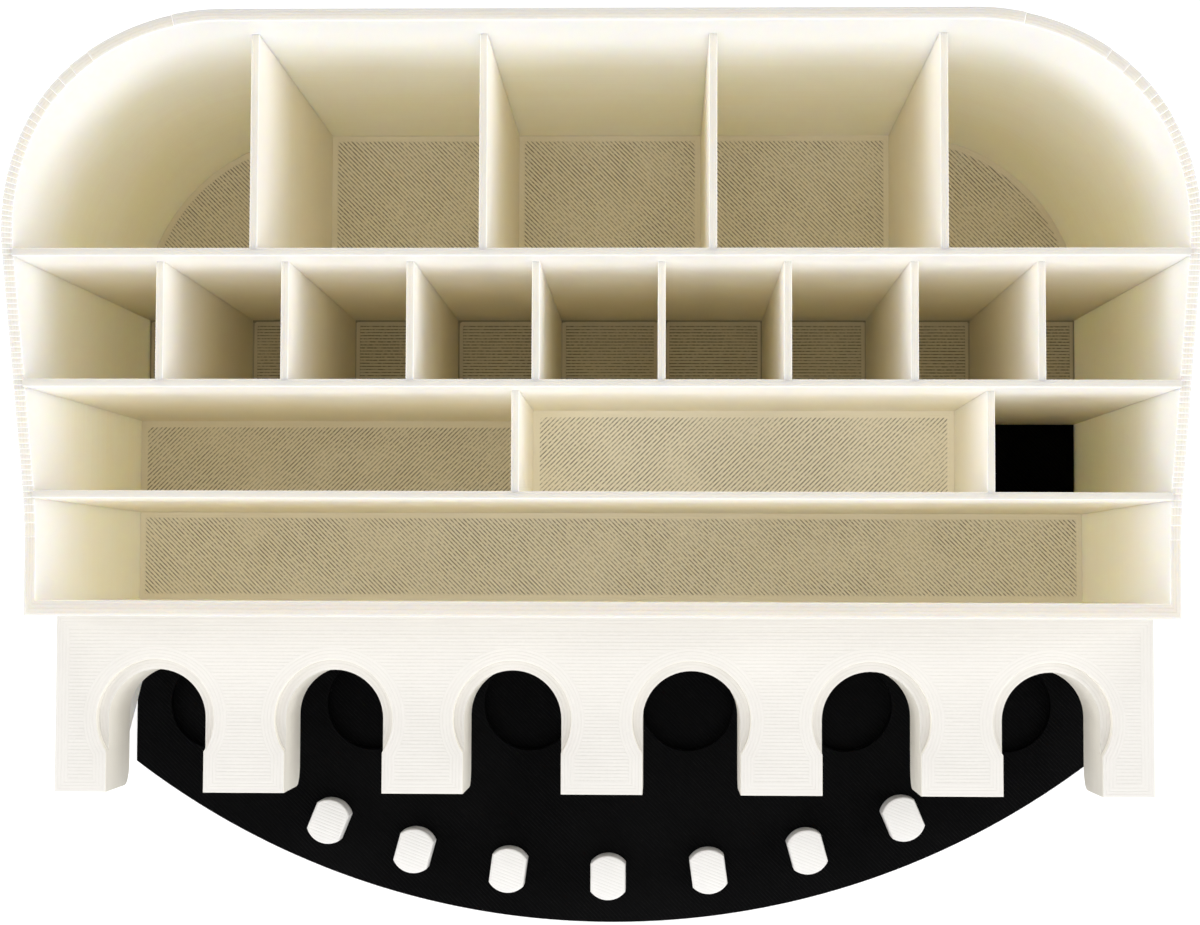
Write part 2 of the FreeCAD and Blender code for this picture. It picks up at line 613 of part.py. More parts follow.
def base_plate():
    """Plate with the bin's rear outline and an arc front, bottle recesses and peg sockets."""
    base = body("base_plate_body", y=REAR)
    point = FreeCAD.Vector
    up = point(0, 0, 1)
    limit = Sketcher.Constraint
    half, corner, arc = dim("foot_width") / 2, dim("rear_corner"), value(OVERALL_DEPTH)
    front = -math.sqrt(arc * arc - half * half)
    outline = body_sketch(base, "base_outline")
    turn = math.asin(half / arc)
    outline.addGeometry([
        Part.ArcOfCircle(Part.Circle(point(0, 0, 0), up, arc),
                         1.5 * math.pi - turn, 1.5 * math.pi + turn),
        Part.LineSegment(point(half, front, 0), point(half, -corner, 0)),
        Part.ArcOfCircle(Part.Circle(point(half - corner, -corner, 0), up, corner), 0, math.pi / 2),
        Part.LineSegment(point(half - corner, 0, 0), point(corner - half, 0, 0)),
        Part.ArcOfCircle(Part.Circle(point(corner - half, -corner, 0), up, corner),
                         math.pi / 2, math.pi),
        Part.LineSegment(point(-half, -corner, 0), point(-half, front, 0)),
    ], False)
    outline.addConstraint([
        limit("Coincident", 0, 3, -1, 1),
        limit("Coincident", 0, 2, 1, 1),
        limit("Tangent", 1, 2, 2, 1),
        limit("Tangent", 2, 2, 3, 1),
        limit("Tangent", 3, 2, 4, 1),
        limit("Tangent", 4, 2, 5, 1),
        limit("Coincident", 5, 2, 0, 1),
        limit("Vertical", 1),
        limit("Symmetric", 0, 1, 0, 2, -2),
        limit("PointOnObject", 3, 1, -1),
        limit("Horizontal", 3),
        limit("Equal", 2, 4),
    ])
    named_limit(outline, limit("Radius", 0, arc), "front_arc", OVERALL_DEPTH)
    named_limit(outline, limit("Radius", 2, corner), "corner", "dims.rear_corner")
    named_limit(outline, limit("DistanceX", 0, 1, 0, 2, 2 * half), "width", "dims.foot_width")
    pad(base, "plate", outline, "dims.base_thickness")
    doc.recompute()

    recess = body_sketch(base, "recess_outline", height="dims.base_thickness")
    circle(recess, "dims.recess_diameter", f"{BIN_DEPTH} + {SLOT_BACK}")
    sunk = pocket(base, "recess", recess, "dims.recess_depth")
    pattern(base, "LinearPattern", "recesses", sunk, "X_Axis", "dims.slot_count",
            Length=SLOT_SPAN)
    doc.recompute()

    gap = "2 * dims.peg_clearance"
    for number in peg_numbers():
        socket = body_sketch(base, f"socket_outline_{number}", height="dims.base_thickness",
                             turn=peg_turn(number))
        double_d(socket, f"dims.peg_diameter + {gap}", f"dims.peg_flats + {gap}", PEG_CIRCLE)
        pocket(base, f"socket_{number}", socket, "dims.peg_socket")
    part(base, "base_plate")


def pegs():
    """Seven pegs seated in the base plate's sockets, their flats facing along the arc."""
    height = dim("peg_height") + dim("peg_socket")
    for number in peg_numbers():
        angle = f"({peg_turn(number)} * 1 deg)"
        peg = body(f"peg_body_{number}", x=f"{PEG_CIRCLE} * sin({angle})",
                   y=f"{REAR} - {PEG_CIRCLE} * cos({angle})",
                   z=f"{BIN_FLOOR} - dims.peg_socket")
        bind(peg, Placement__Rotation__Angle=angle)
        section = body_sketch(peg, f"peg_section_{number}")
        double_d(section, "dims.peg_diameter", "dims.peg_flats")
        post = pad(peg, f"peg_post_{number}", section, "dims.peg_height + dims.peg_socket")
        doc.recompute()
        shape = post.Shape.copy()
        shape.Placement = FreeCAD.Placement()
        edge = peg.newObject("PartDesign::Chamfer", f"peg_chamfer_{number}")
        edge.Base = (post, edges_where(shape, lambda at: near(at.z, height)))
        bind(edge, Size="dims.peg_chamfer")
        peg.Tip = edge
        part(peg, f"peg_{number}")


# ---------------------------------------------------------------- build, check and write
outer_form, cavity_form = bin_forms()
shell_walls(outer_form, cavity_form, rim_cutter())
cross_walls(cavity_form)
floors(cavity_form)
dividers()
tool_rack()
rack_cheeks(outer_form, cavity_form)
base_plate()
pegs()
doc.recompute()

for item in doc.Objects:
    if "Invalid" in item.State or "Error" in item.State:
        raise RuntimeError(f"{item.Name}: {item.State}")

os.makedirs("parts", exist_ok=True)
for item in PARTS:
    shape = item.Shape
    if shape.isNull() or not shape.isValid() or len(shape.Solids) != 1:
        raise RuntimeError(f"{item.Label}: bad shape, {len(shape.Solids)} solids")
    shape.exportStep(f"parts/{item.Label}.step")
    low, high = shape.BoundBox, shape.BoundBox
    print(f"{item.Label:22s} volume {shape.Volume / 1000:8.2f} cm3   "
          f"x {low.XMin:8.2f} {high.XMax:8.2f}  y {low.YMin:8.2f} {high.YMax:8.2f}  "
          f"z {low.ZMin:7.2f} {high.ZMax:7.2f}")
print(len(PARTS), "sub-parts")
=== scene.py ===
"""Hobby workstation organizer: a printed parts bin, its slotted tool rack and its base plate.

Lengths in this file are millimetres until a mesh is written, and metres from there on.
"""
import math

import bmesh
import bpy
import numpy as np
from mathutils import Matrix, Vector


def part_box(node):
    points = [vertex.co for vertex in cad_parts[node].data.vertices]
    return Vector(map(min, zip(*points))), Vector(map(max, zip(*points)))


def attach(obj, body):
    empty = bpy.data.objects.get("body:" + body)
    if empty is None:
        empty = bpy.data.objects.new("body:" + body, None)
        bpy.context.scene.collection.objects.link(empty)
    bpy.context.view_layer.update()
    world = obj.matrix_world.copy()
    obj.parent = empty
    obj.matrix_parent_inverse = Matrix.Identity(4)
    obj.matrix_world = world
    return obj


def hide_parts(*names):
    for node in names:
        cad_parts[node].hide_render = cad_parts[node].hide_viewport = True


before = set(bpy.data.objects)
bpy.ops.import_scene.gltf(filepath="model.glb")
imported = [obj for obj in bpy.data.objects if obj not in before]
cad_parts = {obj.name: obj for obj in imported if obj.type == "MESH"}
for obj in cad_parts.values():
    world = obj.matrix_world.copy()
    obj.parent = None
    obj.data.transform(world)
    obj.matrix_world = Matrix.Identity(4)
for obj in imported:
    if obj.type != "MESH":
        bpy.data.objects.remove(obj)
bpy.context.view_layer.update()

MM = 0.001


def span(node):
    """Lowest and highest corner of a CAD node, in millimetres."""
    low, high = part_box(node)
    return np.array(low) / MM, np.array(high) / MM


# ---------------------------------------------------------------- sizes
BASE_LOW, BASE_HIGH = span("base_plate")
RACK_LOW, RACK_HIGH = span("tool_rack")
FRONT_LOW, FRONT_HIGH = span("front_wall")

BASE_TOP = BASE_HIGH[2]
FOOT_HALF = BASE_HIGH[0]    # half the bin's width where it stands on the base
REAR = BASE_HIGH[1]
LEAN = (RACK_HIGH[0] - FOOT_HALF) / (RACK_HIGH[2] - BASE_TOP)     # outward for each unit up
CORNER = 58.0               # outside radius of the bin's rear corners
WALL = 3.0                  # thickness of the side and rear walls
DIVIDER = 2.0               # thickness of the dividers
BIN_FRONT = FRONT_LOW[1]
FRONT_WALL = FRONT_HIGH[1] - FRONT_LOW[1]

RIM_TOP = span("rear_shell")[1][2]
RIM_LEVEL = FRONT_HIGH[2]   # the rim where it runs level again, at the front
RIM_UPPER_BEND = 90.0       # radius of the bend where the rim leaves the rear
RIM_LOWER_BEND = 60.0       # radius of the bend where it comes level again
RIM_RUN = 135.0             # rear face to where the rim is level again
LAYER = 0.47                # height of one printed layer
STRAND_PITCH = 0.955        # from one printed strand to the next across a floor

SLOT_COUNT = 6
SLOT_PITCH = 48.513
SLOT_HALF = 13.25           # half a slot's width
SLOT_CENTRES = (np.arange(SLOT_COUNT) - (SLOT_COUNT - 1) / 2) * SLOT_PITCH
SLOT_Y = RACK_LOW[1] + 20.0     # middle of the slots' round ends and of the seats
SEAT_RADIUS = 16.0
SEAT_DEPTH = 3.0
RACK_ROUND = 5.5            # the round along the rack's lower front edge
CHEEK_CUT = 32.5            # height and depth of the slanted cut at a cheek's foot

RECESS_RADIUS = 14.0
RECESS_DEPTH = 3.0          # of the recesses and of the peg sockets
FRONT_ARC = REAR - BASE_LOW[1]      # radius of the base's front edge, about its rear middle
PEG_RADIUS = 6.75
PEG_FLAT = 5.3              # from a peg's middle to its flats
PEG_TOP = 14.0
PEG_EASE = 0.6              # how far a peg's top edge is eased
PEG_CLEARANCE = 0.1         # gap round a peg in its socket
PEG_RING = 229.6            # radius of the pegs' ring, about the base's rear middle
PEG_ANGLES = (-21.83, -14.94, -7.62, 0.0, 7.63, 15.27, 22.95)

EDGE = 0.35                 # the small round every printed edge has
HOLD = 1.5                  # a row of points this far from an edge keeps its shading off the face
SHARP = math.radians(35.0)  # faces that meet at more than this are not shaded as one
WELD = 2e-6                 # points closer than this, in metres, become one


def half_width(z):
    """Outside half width of the leaning bin at height z."""
    return FOOT_HALF + LEAN * (z - BASE_TOP)


# ---------------------------------------------------------------- mesh helpers
class Skin:
    """Collects grids and loops of points, then welds them into one closed mesh.

    A grid is a surface P(u, v) sampled as an array; neighbouring samples make its faces. Each
    point carries its lane, the distance across a wall or to a floor's edge, and how far below
    the wall's top it is.
    """

    def __init__(self):
        self.points, self.faces, self.count = [], [], 0
        self.carried = {"lane": [], "below": []}

    def add_points(self, points, lane=0.0, below=0.0):
        start = self.count
        self.points.append(points.reshape(-1, 3))
        for key, values in (("lane", lane), ("below", below)):
            self.carried[key].append(np.broadcast_to(values, points.shape[:-1]).ravel())
        self.count += len(self.points[-1])
        return start

    def grid(self, points, lane=0.0, below=0.0, ring=False, loop=False):
        """Faces between neighbouring rows and columns; ring closes each row, loop each column."""
        rows, columns = points.shape[:2]
        start = self.add_points(points, lane, below)
        index = start + np.arange(rows * columns).reshape(rows, columns)
        if ring:
            index = np.concatenate([index, index[:, :1]], axis=1)
        if loop:
            index = np.concatenate([index, index[:1]], axis=0)
        quads = np.stack([index[:-1, :-1], index[:-1, 1:], index[1:, 1:], index[1:, :-1]], axis=-1)
        self.faces += quads.reshape(-1, 4).tolist()

    def cap(self, loop, lane=0.0, below=0.0):
        """One flat face round a loop of points."""
        start = self.add_points(loop, lane, below)
        self.faces.append(list(range(start, start + len(loop))))

    def piece(self, name, material, slot, *nodes, fill=None):
        """Welds the points, turns the faces outward and puts the piece in the scene, standing in
        for its CAD nodes. fill closes the face left open between the loops at that height."""
        mesh = bpy.data.meshes.new(name)
        mesh.from_pydata(np.concatenate(self.points) * MM, [], self.faces)
        for key, values in self.carried.items():
            layer = mesh.attributes.new(key, "FLOAT", "POINT")
            layer.data.foreach_set("value", np.concatenate(values).astype(np.float32))
        work = bmesh.new()
        work.from_mesh(mesh)
        bmesh.ops.remove_doubles(work, verts=work.verts, dist=WELD)
        bmesh.ops.dissolve_degenerate(work, edges=work.edges, dist=WELD / 2)
        if fill:
            rim = [edge for edge in work.edges if edge.is_boundary
                   and all(abs(end.co.z - fill * MM) < WELD / 2 for end in edge.verts)]
            bmesh.ops.triangle_fill(work, edges=rim, use_beauty=True)
        bmesh.ops.recalc_face_normals(work, faces=work.faces)
        work.to_mesh(mesh)
        work.free()
        # Only the four-sided faces of the grids are shaded smoothly; the flat caps stay flat.
        corners = np.zeros(len(mesh.polygons), dtype=np.int32)
        mesh.polygons.foreach_get("loop_total", corners)
        mesh.polygons.foreach_set("use_smooth", corners == 4)
        mesh.set_sharp_from_angle(angle=SHARP)
        made = bpy.data.objects.new(name, mesh)
        bpy.context.scene.collection.objects.link(made)
        mesh.materials.append(material)
        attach(made, "root")
        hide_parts(*nodes)


def quarter(radius, steps=4):
    """Offsets along a quarter round: in from the face and down from the top, face to top."""
    turn = np.linspace(0, math.pi / 2, steps + 1)
    return radius * (1 - np.cos(turn)), radius * (1 - np.sin(turn))


def circle(steps):
    """A closed unit circle of plan points."""
    turn = np.linspace(0, 2 * math.pi, steps + 1)[:-1]
    return np.stack([np.cos(turn), np.sin(turn)], axis=1)


def inset(loop, distance):
    """A closed loop of plan points moved inward by a distance, mitred at its corners."""
    following = np.roll(loop, -1, axis=0)
    ahead = following - loop
    ahead = ahead / np.linalg.norm(ahead, axis=1, keepdims=True)
    area = 0.5 * np.sum(loop[:, 0] * following[:, 1] - following[:, 0] * loop[:, 1])
    inward = np.stack([-ahead[:, 1], ahead[:, 0]], axis=1) * (1.0 if area > 0 else -1.0)
    middle = inward + np.roll(inward, 1, axis=0)
    return loop + distance * 2 * middle / np.sum(middle * middle, axis=1, keepdims=True)


def raised(loop, z):
    """Plan points at one height."""
    return np.column_stack([loop, np.full(len(loop), z)])


def loft(name, rings, material, slot):
    """One closed piece through a stack of loops, capped at both ends, under its node's name."""
    skin = Skin()
    skin.grid(np.stack(rings), ring=True)
    skin.cap(rings[0])
    skin.cap(rings[-1])
    skin.piece(name, material, slot, name)


# ---------------------------------------------------------------- materials
class Graph:
    """A material's node tree, with short names for the nodes that the materials share."""

    def __init__(self, name):
        self.material = bpy.data.materials.new(name)
        self.material.use_nodes = True
        self.tree = self.material.node_tree
        self.tree.nodes.clear()

    def node(self, kind, inputs=None, **settings):
        made = self.tree.nodes.new(kind)
        for key, setting in settings.items():
            setattr(made, key, setting)
        for key, source in (inputs or {}).items():
            socket = made.inputs[key]
            if isinstance(source, bpy.types.NodeSocket):
                self.tree.links.new(source, socket)
            else:
                socket.default_value = source
        return made

    def math(self, operation, *sources):
        return self.node("ShaderNodeMath", dict(enumerate(sources)), operation=operation).outputs[0]

    def remap(self, source, low, high, to_low=0.0, to_high=1.0):
        """A smooth step from to_low to to_high while the source goes from low to high."""
        return self.node("ShaderNodeMapRange", {"Value": source, "From Min": low, "From Max": high,
                                                "To Min": to_low, "To Max": to_high},
                         interpolation_type="SMOOTHSTEP").outputs[0]

    def mix(self, factor, first, second):
        return self.node("ShaderNodeMix", {0: factor, 2: first, 3: second}).outputs[0]

    def noise(self, vector, scale, detail=3.0, roughness=0.5):
        return self.node("ShaderNodeTexNoise", {"Vector": vector, "Scale": scale, "Detail": detail,
                                                "Roughness": roughness}).outputs["Fac"]

    def ridges(self, along, pitch):
        """Height of strands laid side by side: a round back each pitch, with a narrow valley."""
        phase = self.math("FRACT", self.math("DIVIDE", along, pitch))
        centred = self.math("ABSOLUTE", self.math("SUBTRACT", phase, 0.5))
        fall = self.math("POWER", self.math("MULTIPLY", centred, 2.0), 3.0)
        return self.math("SUBTRACT", 1.0, fall)

    def tint(self, factor, first, second):
        """Mixes two colours, each a socket or three numbers."""
        first, second = [(*source, 1.0) if isinstance(source, tuple) else source
                         for source in (first, second)]
        return self.node("ShaderNodeMix", {"Factor": factor, 6: first, 7: second},
                         data_type="RGBA").outputs[2]

    def finish(self, colour, roughness, bump, specular, glow, glow_depth, strength):
        """The plastic's shader: bump is a height in tenths of a millimetre."""
        shaped = self.node("ShaderNodeBump", {"Height": bump, "Strength": strength,
                                              "Distance": 0.1 * MM})
        shader = self.node("ShaderNodeBsdfPrincipled", {
            "Base Color": colour, "Roughness": roughness, "Specular IOR Level": specular,
            "Normal": shaped.outputs[0], "Subsurface Weight": glow,
            "Subsurface Radius": (1.0, 0.78, 0.45), "Subsurface Scale": glow_depth * MM})
        self.node("ShaderNodeOutputMaterial", {"Surface": shader.outputs[0]})
        return self.material


def rack_edge_distance(g, x, y):
    """Distance in plan from the rack's outline: the nearest of its straight edges, its slots (each
    a half circle on two straight walls, repeated every pitch along x) and its round seats."""
    share = g.math("FRACT", g.math("DIVIDE", x, SLOT_PITCH))
    beside = g.math("MULTIPLY", g.math("SUBTRACT", share, 0.5), SLOT_PITCH)
    beyond = g.math("SUBTRACT", y, SLOT_Y)

    def from_centre(forward):
        squares = [g.math("MULTIPLY", part, part) for part in (beside, forward)]
        return g.math("SQRT", g.math("ADD", *squares))

    slot = g.math("SUBTRACT", from_centre(g.math("MAXIMUM", beyond, 0.0)), SLOT_HALF)
    seat = g.math("SUBTRACT", from_centre(beyond), SEAT_RADIUS)
    ends = g.math("SUBTRACT", float(RACK_HIGH[0]), g.math("ABSOLUTE", x))
    front = g.math("SUBTRACT", y, float(RACK_LOW[1]))
    back = g.math("SUBTRACT", float(RACK_HIGH[1]), y)
    openings = g.math("MINIMUM", slot, seat)
    return g.math("MINIMUM", openings, g.math("MINIMUM", ends, g.math("MINIMUM", front, back)))


def scaled(colour, factor):
    """A colour made lighter or darker."""
    return tuple(factor * part for part in colour)


def printed_plastic(name, colour, deep, painted_shade_level_tone=None, painted_light_upper_tone=None, painted_shade_outer_tone=None,
                    strand_angle=45.0, lanes=False, edge_distance=None, band=0.0, band_pitch=0.75,
                    grooves=0.0, band_grooves=0.0, painted_groove_tone=0.22, painted_corner_shade=0.0, speck_tone=0.5,
                    specular=0.3, roughness=0.45, skin=0.6, glow=0.0, glow_depth=7.0):
    """Printed plastic: layers up the walls and strands across the level faces.

    colour and deep are the tones it wanders between. painted_shade_level_tone is painted shade:
    the colour of the level faces, kept darker than the walls since they take the most light.
    painted_light_upper_tone is painted light: the whiter tone of a wall near its top, where the
    lamps reach. painted_shade_outer_tone is painted shade: the darker tone of the faces where the
    lane attribute is nought, the outside faces that the lamps light directly.
    strand_angle turns the strands; lanes lays them along the piece instead, from its lane
    attribute; within band of an edge they follow that edge, band_pitch apart, and the distance
    to it is the lane attribute or edge_distance's.
    grooves and band_grooves are how clear the gaps between strands are, outside the band and
    in it; painted_groove_tone is how the gaps compare with the colour: below one it paints shade
    into the gaps, above one a painted highlight along them. speck_tone is how specks compare.
    painted_corner_shade is painted shade along the line where a floor meets the walls. skin is
    the strength of the bump. glow is the share of light that travels through the plastic,
    glow_depth millimetres deep.
    """
    g = Graph(name)
    place = g.node("ShaderNodeTexCoord").outputs["Object"]
    spot = g.node("ShaderNodeVectorMath", {0: place, 1: (1 / MM,) * 3},
                  operation="MULTIPLY").outputs[0]
    x, y, z = g.node("ShaderNodeSeparateXYZ", {0: spot}).outputs[:3]
    normal = g.node("ShaderNodeNewGeometry").outputs["Normal"]
    facing = g.node("ShaderNodeSeparateXYZ", {0: normal}).outputs[2]
    level = g.remap(g.math("ABSOLUTE", facing), 0.6, 0.9)
    lane = g.node("ShaderNodeAttribute", attribute_name="lane").outputs["Fac"]

    cloud = g.noise(spot, 0.035, 3.0)
    fine = g.noise(spot, 1.4, 3.0, 0.6)
    wander = g.noise(spot, 0.12, 2.0)
    sway = g.math("MULTIPLY", g.math("SUBTRACT", wander, 0.5), 0.12)

    if lanes:
        strands = g.ridges(g.math("ADD", lane, sway), band_pitch)
        inside = 0.0
    else:
        turn = math.radians(strand_angle)
        across = g.math("ADD", g.math("MULTIPLY", x, math.sin(turn)),
                        g.math("MULTIPLY", y, math.cos(turn)))
        strands = g.ridges(g.math("ADD", across, sway), STRAND_PITCH)
        inside = 1.0
    if band:
        distance = edge_distance(g, x, y) if edge_distance else lane
        inside = g.remap(distance, band - 0.25, band + 0.25)
        beside = g.ridges(g.math("ADD", distance, g.math("MULTIPLY", sway, 0.5)), band_pitch)
        strands = g.mix(inside, beside, strands)
    layers = g.ridges(g.math("ADD", z, g.math("MULTIPLY", sway, 0.8)), LAYER)
    # Each layer sits a little in or out of its neighbours.
    flattened = [g.math("MULTIPLY", part, factor)
                 for part, factor in ((x, 0.02), (y, 0.02), (z, 1.6))]
    flattened = g.node("ShaderNodeCombineXYZ", dict(enumerate(flattened))).outputs[0]
    stagger = g.noise(flattened, 1.0, 2.0)
    walls = g.math("ADD", g.math("MULTIPLY", layers, 0.5), g.math("MULTIPLY", stagger, 0.9))
    height = g.mix(level, walls, strands)
    height = g.math("ADD", height, g.math("MULTIPLY", fine, 0.35))

    layered = g.math("ADD", cloud, g.math("MULTIPLY", g.math("SUBTRACT", stagger, 0.5), 0.9))
    toned = g.tint(g.remap(layered, 0.30, 0.72), colour, deep)
    # Painted light: a wall is painted whiter near its top, where the lamps reach it directly.
    if painted_light_upper_tone:
        below = g.node("ShaderNodeAttribute", attribute_name="below").outputs["Fac"]
        toned = g.tint(g.remap(below, 8.0, 62.0), painted_light_upper_tone, toned)
    # Painted shade: the outside faces, lit directly by the lamps, are painted darker than the
    # inside.
    if painted_shade_outer_tone:
        outer = g.tint(g.remap(layered, 0.30, 0.72), painted_shade_outer_tone, scaled(painted_shade_outer_tone, 0.97))
        toned = g.tint(g.remap(lane, 0.30, 0.02), toned, outer)
    # Painted shade: the level faces, which take the most light, are painted darker than the walls.
    if painted_shade_level_tone:
        painted_shade_level_colour = g.tint(g.remap(cloud, 0.35, 0.68), painted_shade_level_tone, scaled(painted_shade_level_tone, 0.975))
        toned = g.tint(level, toned, painted_shade_level_colour)
    speck = g.remap(g.noise(spot, 0.9, 2.0, 0.7), 0.76, 0.80)
    toned = g.tint(g.math("MULTIPLY", speck, 0.25), toned, scaled(colour, speck_tone))
    # Painted shade along the corner where a floor meets its walls.
    if painted_corner_shade:
        foot = g.math("MULTIPLY", g.remap(lane, 0.6, 0.2), painted_corner_shade)
        toned = g.tint(foot, toned, scaled(colour, 0.1))
    # Painted shade in the gaps between strands where the gap tone is below one, a painted highlight
    # along them where it is above one.
    if grooves or band_grooves:
        valley = g.remap(g.math("SUBTRACT", 1.0, strands), 0.08, 0.50)
        beads = g.remap(g.noise(spot, 1.1, 1.0, 0.5), 0.30, 0.62, 0.4, 1.0)
        patch = g.remap(g.noise(spot, 0.06, 1.0), 0.25, 0.65, 0.65, 1.0)
        depth = g.mix(inside, band_grooves, grooves)
        gap = g.math("MULTIPLY", g.math("MULTIPLY", valley, beads),
                     g.math("MULTIPLY", patch, depth))
        toned = g.tint(g.math("MULTIPLY", gap, level), toned, scaled(colour, painted_groove_tone))
    gloss = g.math("ADD", roughness, g.math("MULTIPLY", g.math("SUBTRACT", cloud, 0.5), 0.16))
    gloss = g.math("ADD", gloss, g.math("MULTIPLY", g.math("SUBTRACT", fine, 0.5), 0.10))
    return g.finish(toned, gloss, height, specular, glow, glow_depth, skin)


IVORY = (0.990, 0.958, 0.848)
IVORY_DEEP = (0.978, 0.932, 0.795)
# Painted light: a wall's whiter tone near its top.
IVORY_PAINTED_LIGHT_UPPER = (0.972, 0.948, 0.898)
# Painted shade: the level faces' tones, darker than the walls, on the wall tops and the rim.
WALL_TOP_PAINTED_SHADE = (0.64, 0.622, 0.59)
RIM_PAINTED_SHADE = (0.64, 0.62, 0.60)
# Painted shade: the tone of the shell's outside faces, darker than its inside.
OUTER_PAINTED_SHADE = (0.81, 0.786, 0.728)
RACK_SIDE = (0.86, 0.83, 0.765)
RACK_SIDE_DEEP = (0.84, 0.81, 0.74)
# Painted shade: the tone of the rack's level faces, darker than its sides.
RACK_TOP_PAINTED_SHADE = (0.725, 0.703, 0.668)
FLOOR_IVORY = (0.96, 0.945, 0.885)
FLOOR_DEEP = (0.94, 0.92, 0.85)
BLACK = (0.0016, 0.0016, 0.0017)
BLACK_WORN = (0.0026, 0.0026, 0.0027)
PEG_WHITE = (0.78, 0.765, 0.745)

shell_plastic = printed_plastic("ivory_shell", IVORY, IVORY_DEEP, RIM_PAINTED_SHADE, IVORY_PAINTED_LIGHT_UPPER, OUTER_PAINTED_SHADE,
                                lanes=True, band_grooves=0.30, painted_groove_tone=0.5,
                                glow=0.9, glow_depth=9.0)
wall_plastic = printed_plastic("ivory_walls", IVORY, IVORY_DEEP, WALL_TOP_PAINTED_SHADE, IVORY_PAINTED_LIGHT_UPPER,
                               lanes=True, glow=0.5)
# The floors' strand gaps are painted darker: painted shade in the grooves.
floor_slant = printed_plastic("ivory_floor_slanted", FLOOR_IVORY, FLOOR_DEEP,
                              band=1.7, grooves=1.0, painted_groove_tone=0.2)
floor_counter = printed_plastic("ivory_floor_counter_slanted", FLOOR_IVORY, FLOOR_DEEP,
                                strand_angle=-45.0, band=1.9, grooves=0.95, painted_groove_tone=0.2)
# The second row's floor gets painted shade along its corners with the walls.
floor_level = printed_plastic("ivory_floor_crosswise", FLOOR_IVORY, FLOOR_DEEP,
                              strand_angle=0.0, band=1.4, grooves=0.9, painted_groove_tone=0.2, painted_corner_shade=0.6)
# The rack's strand gaps are painted a little darker: painted shade in the grooves.
rack_plastic = printed_plastic("ivory_rack", RACK_SIDE, RACK_SIDE_DEEP, RACK_TOP_PAINTED_SHADE,
                               strand_angle=0.0, edge_distance=rack_edge_distance, band=3.6,
                               band_pitch=0.9, grooves=0.20, band_grooves=0.07, painted_groove_tone=0.5)
# On the black base the strand gaps are painted lighter: a painted highlight along the printed
# lines. The light specks are dust.
base_plastic = printed_plastic("black_base", BLACK, BLACK_WORN, grooves=0.6, painted_groove_tone=5.0,
                               speck_tone=40.0, specular=0.018, roughness=0.5, skin=0.8)
peg_plastic = printed_plastic("white_pegs", PEG_WHITE, scaled(PEG_WHITE, 0.96), strand_angle=20.0)


# ---------------------------------------------------------------- the bin's shell
def rim_height(y):
    """Height z of the rim at y, which is t in front of the rear face.

    It leaves the rear level on an arc, runs down a straight slope that is tangent to it, and
    comes level again on a second arc.
    """
    drop = RIM_TOP - RIM_LEVEL
    bends = RIM_UPPER_BEND + RIM_LOWER_BEND
    slope = math.atan2(RIM_RUN, bends - drop) - math.acos(bends / math.hypot(bends - drop, RIM_RUN))
    t = REAR - np.asarray(y, float)
    upper = RIM_UPPER_BEND * math.sin(slope)
    lower = RIM_RUN - RIM_LOWER_BEND * math.sin(slope)
    curve_in = RIM_TOP - RIM_UPPER_BEND + np.sqrt(RIM_UPPER_BEND ** 2 - np.clip(t, 0, upper) ** 2)
    straight = RIM_TOP - RIM_UPPER_BEND * (1 - math.cos(slope)) - (t - upper) * math.tan(slope)
    back = np.clip(RIM_RUN - t, 0, RIM_LOWER_BEND * math.sin(slope))
    curve_out = RIM_LEVEL + RIM_LOWER_BEND - np.sqrt(RIM_LOWER_BEND ** 2 - back ** 2)
    return np.where(t < upper, curve_in, np.where(t < lower, straight, curve_out))


def rim_stations():
    """Places along one side, front to rear, and the printed rim's height at each.

    The rim is cut into layers: every layer ends where the true rim line crosses its top, with
    a rounded nose there, so the height is a staircase under that line.
    """
    fine_y = np.linspace(BIN_FRONT, REAR, 4001)
    fine_z = np.maximum.accumulate(rim_height(fine_y))
    first = math.ceil((RIM_LEVEL - BASE_TOP) / LAYER + 0.02)
    last = int((RIM_TOP - BASE_TOP) / LAYER)
    tops = np.arange(first, last + 1) * LAYER + BASE_TOP
    tops = np.append(tops[tops < RIM_TOP - 0.15], RIM_TOP - 0.01)
    crossing = np.interp(tops, fine_z, fine_y)
    under = np.concatenate([[RIM_LEVEL], tops[:-1]])
    # The nose: how far back from a layer's end, and what share of its height down from its top.
    nose_in = np.array([0.0, 0.05, 0.16, 0.36])
    nose_down = np.array([1.0, 0.42, 0.13, 0.0])
    step_y = (crossing[:, None] + nose_in).ravel()
    step_z = (tops[:, None] - nose_down * (tops - under)[:, None]).ravel()
    turn = np.radians(np.arange(1.5, 90.0, 1.5))
    side_y = np.linspace(BIN_FRONT, REAR - CORNER, 12)
    plain_y = np.concatenate([side_y, REAR - CORNER + CORNER * np.sin(turn)])
    plain_y = plain_y[np.min(np.abs(plain_y[:, None] - step_y), axis=1) > 0.05]
    plain_z = np.concatenate([[RIM_LEVEL], tops])[np.searchsorted(crossing, plain_y)]
    all_y, all_z = np.concatenate([step_y, plain_y]), np.concatenate([step_z, plain_z])
    order = np.argsort(all_y, kind="stable")
    return all_y[order], all_z[order]


REAR_STEPS, FRONT_STEPS = 25, 61    # points along the shell's straight rear and its front
HALF_DOWN = 60.0            # a row of points this far below the shell's rim


